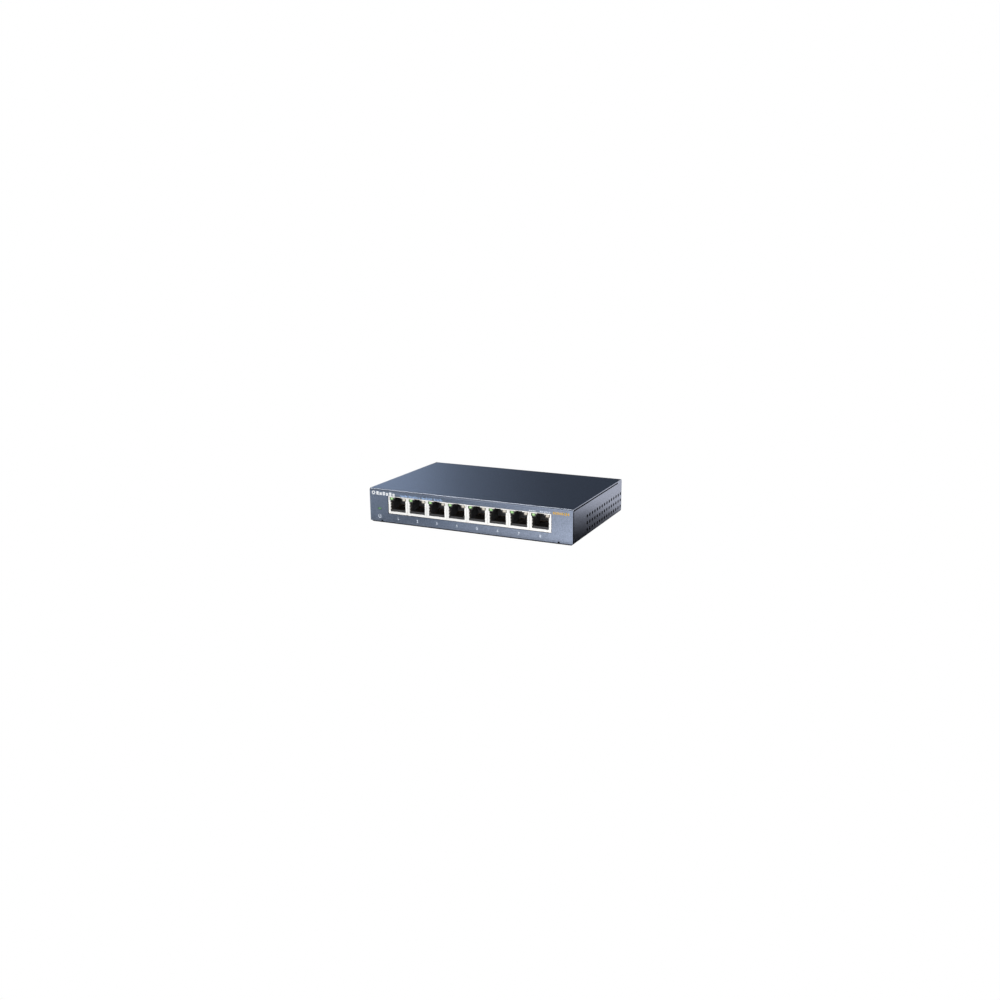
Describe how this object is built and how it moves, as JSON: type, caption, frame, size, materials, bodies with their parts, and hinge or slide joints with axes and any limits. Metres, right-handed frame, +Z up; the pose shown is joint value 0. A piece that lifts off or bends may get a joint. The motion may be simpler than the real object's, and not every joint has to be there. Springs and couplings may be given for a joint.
{
  "type": "desktop network switch",
  "caption": "Desktop network switch: folded steel case with side vents, a front row of shielded RJ45 sockets with port lights, a rear power inlet and rubber feet.",
  "frame": {"origin": "centre of the footprint, on the plane under the feet", "axes": "+X along the row of ports, from port 1 to port 8; +Y from the ports to the rear; +Z up"},
  "size_m": [0.158, 0.101, 0.027],
  "materials": {
    "case_paint": "slate blue powder coat with a fine metallic fleck, satin",
    "screw_zinc": "bright zinc plate",
    "label_white": "plain white sticker",
    "foot_rubber": "matt black rubber",
    "standoff_steel": "plated steel",
    "board_green": "green solder mask over glass-fibre board",
    "jack_black": "black moulded plastic",
    "jack_nickel": "nickel-plated sheet, satin",
    "contact_gold": "gold plate",
    "led_link": "clear green light, lit",
    "led_speed": "pale amber light, unlit",
    "led_power": "small green chip light, lit",
    "light_pipe": "clear green light pipe",
    "inlet_black": "black moulded plastic",
    "inlet_nickel": "nickel plate",
    "chip_black": "dark moulding compound",
    "magnetics_black": "black moulding compound",
    "lead_tin": "matt tin plate",
    "pad_grey": "soft grey-blue silicone",
    "sink_anodised": "black anodised",
    "capacitor_sleeve": "dark blue shrink sleeve",
    "ferrite_grey": "dark grey ferrite",
    "crystal_can": "plain metal can",
    "chip_ceramic": "tan ceramic"
  },
  "bodies": {
    "case": {"top_cover": "case_paint", "base_tray": "case_paint", "case_screws": "screw_zinc", "blank_label": "label_white", "rubber_foot_1": "foot_rubber", "rubber_foot_2": "foot_rubber", "rubber_foot_3": "foot_rubber", "rubber_foot_4": "foot_rubber", "board_standoffs": "standoff_steel", "board_screws": "screw_zinc", "main_board": "board_green", "jack_housing_1": "jack_black", "jack_housing_2": "jack_black", "jack_housing_3": "jack_black", "jack_housing_4": "jack_black", "jack_housing_5": "jack_black", "jack_housing_6": "jack_black", "jack_housing_7": "jack_black", "jack_housing_8": "jack_black", "jack_shield_1": "jack_nickel", "jack_shield_2": "jack_nickel", "jack_shield_3": "jack_nickel", "jack_shield_4": "jack_nickel", "jack_shield_5": "jack_nickel", "jack_shield_6": "jack_nickel", "jack_shield_7": "jack_nickel", "jack_shield_8": "jack_nickel", "link_leds": "led_link", "speed_leds": "led_speed", "power_led": "led_power", "power_light_pipe": "light_pipe", "inlet_housing": "inlet_black", "inlet_pin": "inlet_nickel", "switch_chip": "chip_black", "switch_chip_leads": "lead_tin", "thermal_pad": "pad_grey", "heat_sink": "sink_anodised", "magnetics_modules": "magnetics_black", "magnetics_leads": "lead_tin", "bulk_capacitors": "capacitor_sleeve", "power_inductors": "ferrite_grey", "regulator_chips": "chip_black", "flash_chip": "chip_black", "crystal": "crystal_can", "chip_capacitors": "chip_ceramic"},
    "contacts_1": {"jack_contacts_1": "contact_gold"},
    "contacts_2": {"jack_contacts_2": "contact_gold"},
    "contacts_3": {"jack_contacts_3": "contact_gold"},
    "contacts_4": {"jack_contacts_4": "contact_gold"},
    "contacts_5": {"jack_contacts_5": "contact_gold"},
    "contacts_6": {"jack_contacts_6": "contact_gold"},
    "contacts_7": {"jack_contacts_7": "contact_gold"},
    "contacts_8": {"jack_contacts_8": "contact_gold"},
    "inlet_contact": {"inlet_spring": "inlet_nickel"}
  },
  "joints": [
    {"name": "port_1_contacts", "type": "hinge", "parent": "case", "child": "contacts_1", "pos_m": [-0.05556, -0.0482, 0.01215], "axis": [-1, 0, 0], "range_deg": [0, 9], "stiffness_Nm_per_rad": 0.1},
    {"name": "port_2_contacts", "type": "hinge", "parent": "case", "child": "contacts_2", "pos_m": [-0.03969, -0.0482, 0.01215], "axis": [-1, 0, 0], "range_deg": [0, 9], "stiffness_Nm_per_rad": 0.1},
    {"name": "port_3_contacts", "type": "hinge", "parent": "case", "child": "contacts_3", "pos_m": [-0.02381, -0.0482, 0.01215], "axis": [-1, 0, 0], "range_deg": [0, 9], "stiffness_Nm_per_rad": 0.1},
    {"name": "port_4_contacts", "type": "hinge", "parent": "case", "child": "contacts_4", "pos_m": [-0.00794, -0.0482, 0.01215], "axis": [-1, 0, 0], "range_deg": [0, 9], "stiffness_Nm_per_rad": 0.1},
    {"name": "port_5_contacts", "type": "hinge", "parent": "case", "child": "contacts_5", "pos_m": [0.00794, -0.0482, 0.01215], "axis": [-1, 0, 0], "range_deg": [0, 9], "stiffness_Nm_per_rad": 0.1},
    {"name": "port_6_contacts", "type": "hinge", "parent": "case", "child": "contacts_6", "pos_m": [0.02381, -0.0482, 0.01215], "axis": [-1, 0, 0], "range_deg": [0, 9], "stiffness_Nm_per_rad": 0.1},
    {"name": "port_7_contacts", "type": "hinge", "parent": "case", "child": "contacts_7", "pos_m": [0.03969, -0.0482, 0.01215], "axis": [-1, 0, 0], "range_deg": [0, 9], "stiffness_Nm_per_rad": 0.1},
    {"name": "port_8_contacts", "type": "hinge", "parent": "case", "child": "contacts_8", "pos_m": [0.05556, -0.0482, 0.01215], "axis": [-1, 0, 0], "range_deg": [0, 9], "stiffness_Nm_per_rad": 0.1},
    {"name": "inlet_spring_flex", "type": "hinge", "parent": "case", "child": "inlet_contact", "pos_m": [-0.056, 0.0395, 0.0119], "axis": [-1, 0, 0], "range_deg": [0, 5], "stiffness_Nm_per_rad": 0.1}
  ]
}
